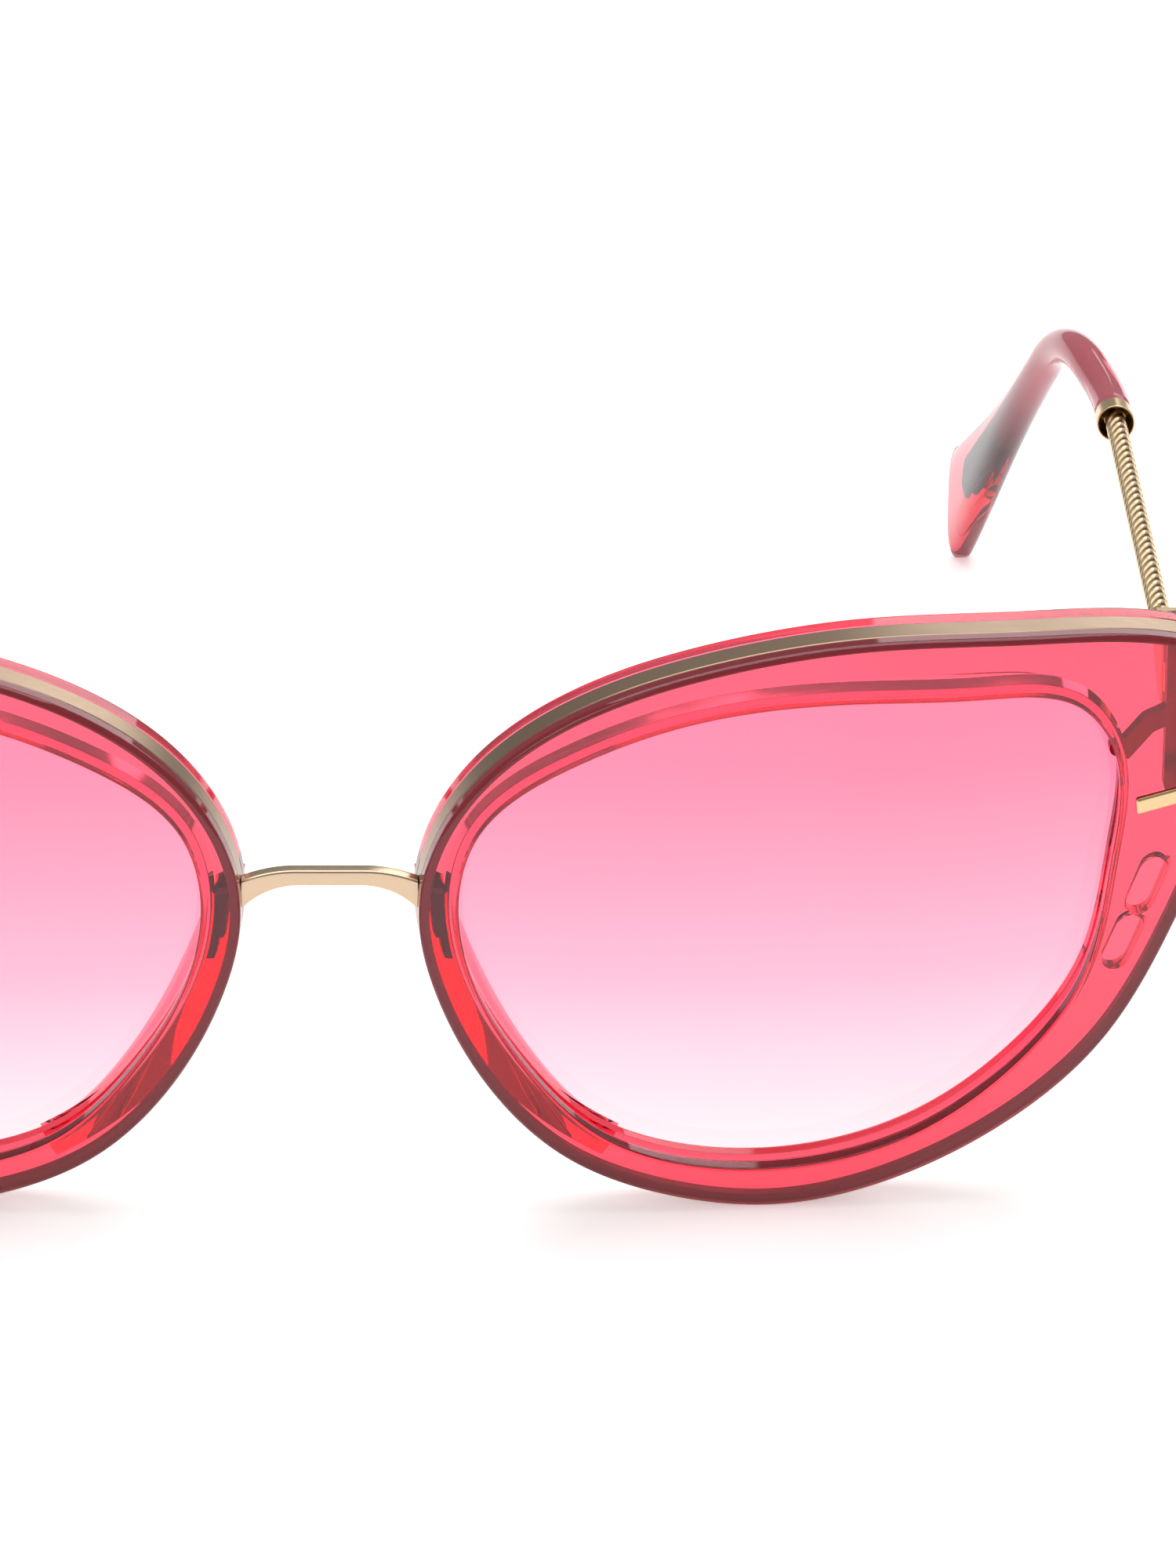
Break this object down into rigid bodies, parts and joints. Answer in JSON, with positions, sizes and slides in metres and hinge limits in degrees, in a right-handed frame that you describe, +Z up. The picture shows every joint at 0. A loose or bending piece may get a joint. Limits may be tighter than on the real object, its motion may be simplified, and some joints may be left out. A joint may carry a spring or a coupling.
{
  "type": "sunglasses",
  "caption": "Cat eye sunglasses with translucent rose acetate rims, inlaid gold trim, a gold bridge bar, woven gold temples that fold and rose acetate temple tips.",
  "frame": {"origin": "under the middle of the open glasses, on the surface that the rim bottoms and temple tips stand on", "axes": "+Z up, the front faces -Y, the temples run back along +Y, the wearer's left is +X"},
  "size_m": [0.1436, 0.1376, 0.0508],
  "materials": {
    "rose_acetate": "polished translucent",
    "tip_acetate": "polished translucent",
    "tinted_lens": "gradient tint, polished",
    "gold_metal": "polished plating",
    "gold_chain": "polished woven links",
    "hinge_steel": "satin",
    "dark_steel": "satin"
  },
  "bodies": {
    "front": {"bridge": "gold_metal", "left_rim": "rose_acetate", "left_rim_trim": "gold_metal", "left_lens": "tinted_lens", "left_nose_pad": "rose_acetate", "left_bridge_anchor": "dark_steel", "left_front_bar": "gold_metal", "left_bracket_screws": "dark_steel", "left_hinge_bracket": "hinge_steel", "left_hinge_screw": "gold_metal", "right_rim": "rose_acetate", "right_rim_trim": "gold_metal", "right_lens": "tinted_lens", "right_nose_pad": "rose_acetate", "right_bridge_anchor": "dark_steel", "right_front_bar": "gold_metal", "right_bracket_screws": "dark_steel", "right_hinge_bracket": "hinge_steel", "right_hinge_screw": "gold_metal"},
    "left_temple": {"left_temple_end": "gold_metal", "left_temple_collar": "gold_metal", "left_temple_wire": "dark_steel", "left_temple_chain": "gold_chain", "left_temple_ferrule": "gold_metal", "left_temple_tip": "tip_acetate"},
    "right_temple": {"right_temple_end": "gold_metal", "right_temple_collar": "gold_metal", "right_temple_wire": "dark_steel", "right_temple_chain": "gold_chain", "right_temple_ferrule": "gold_metal", "right_temple_tip": "tip_acetate"}
  },
  "joints": [
    {"name": "left_temple_fold", "type": "hinge", "parent": "front", "child": "left_temple", "pos_m": [0.06658, -0.05349, 0.04239], "axis": [0, 0, 1], "range_deg": [0, 85]},
    {"name": "right_temple_fold", "type": "hinge", "parent": "front", "child": "right_temple", "pos_m": [-0.06658, -0.05349, 0.04239], "axis": [0, 0, -1], "range_deg": [0, 80]}
  ]
}
